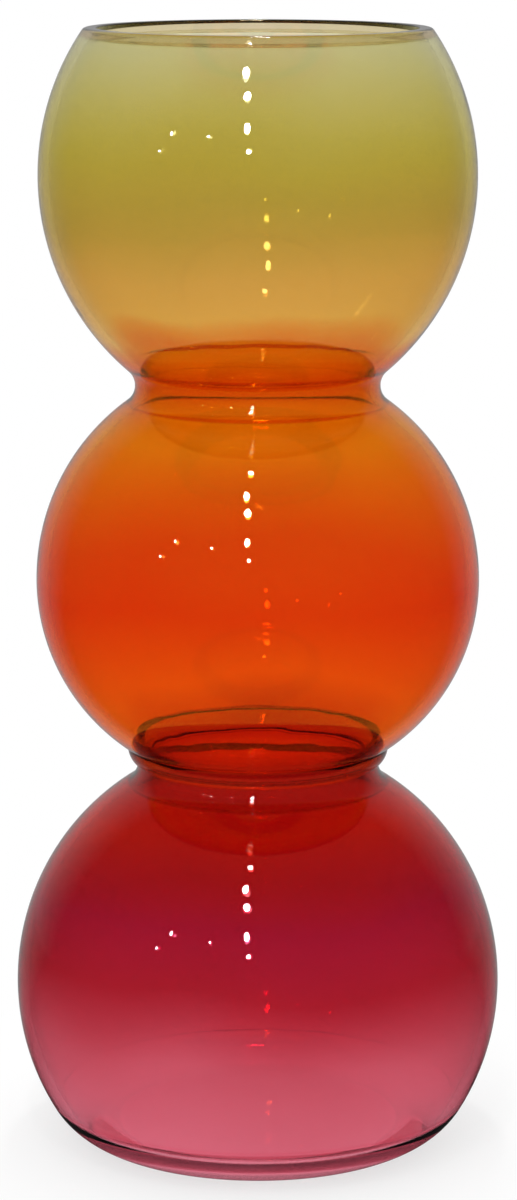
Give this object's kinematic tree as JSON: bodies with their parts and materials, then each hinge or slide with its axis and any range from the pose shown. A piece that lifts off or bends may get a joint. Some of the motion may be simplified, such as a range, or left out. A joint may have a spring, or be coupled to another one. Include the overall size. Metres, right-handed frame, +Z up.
{
  "type": "vase",
  "caption": "Tall glass vase of stacked round globes with narrow waists, a wide open mouth and a flat foot; clear casing over coloured inner layers.",
  "frame": {"origin": "centre of the foot's flat underside", "axes": "+Z up along the vase's axis, from the foot to the mouth; the vase is round about it, so +X and +Y are free"},
  "size_m": [0.177, 0.177, 0.406],
  "materials": {
    "clear_glass": "free blown, fire polished, glossy",
    "cranberry_glass": "transparent coloured layer, glossy",
    "orange_glass": "transparent coloured layer, glossy",
    "olive_glass": "transparent coloured layer, glossy",
    "lip_glass": "ground flat and fire polished"
  },
  "bodies": {
    "root": {"base_pad": "clear_glass", "lower_globe": "clear_glass", "lower_globe_lining": "cranberry_glass", "lower_waist_collar": "clear_glass", "middle_globe": "clear_glass", "middle_globe_lining": "orange_glass", "upper_waist_collar": "clear_glass", "upper_globe": "clear_glass", "upper_globe_lining": "olive_glass", "rim_lip": "lip_glass"}
  },
  "joints": []
}
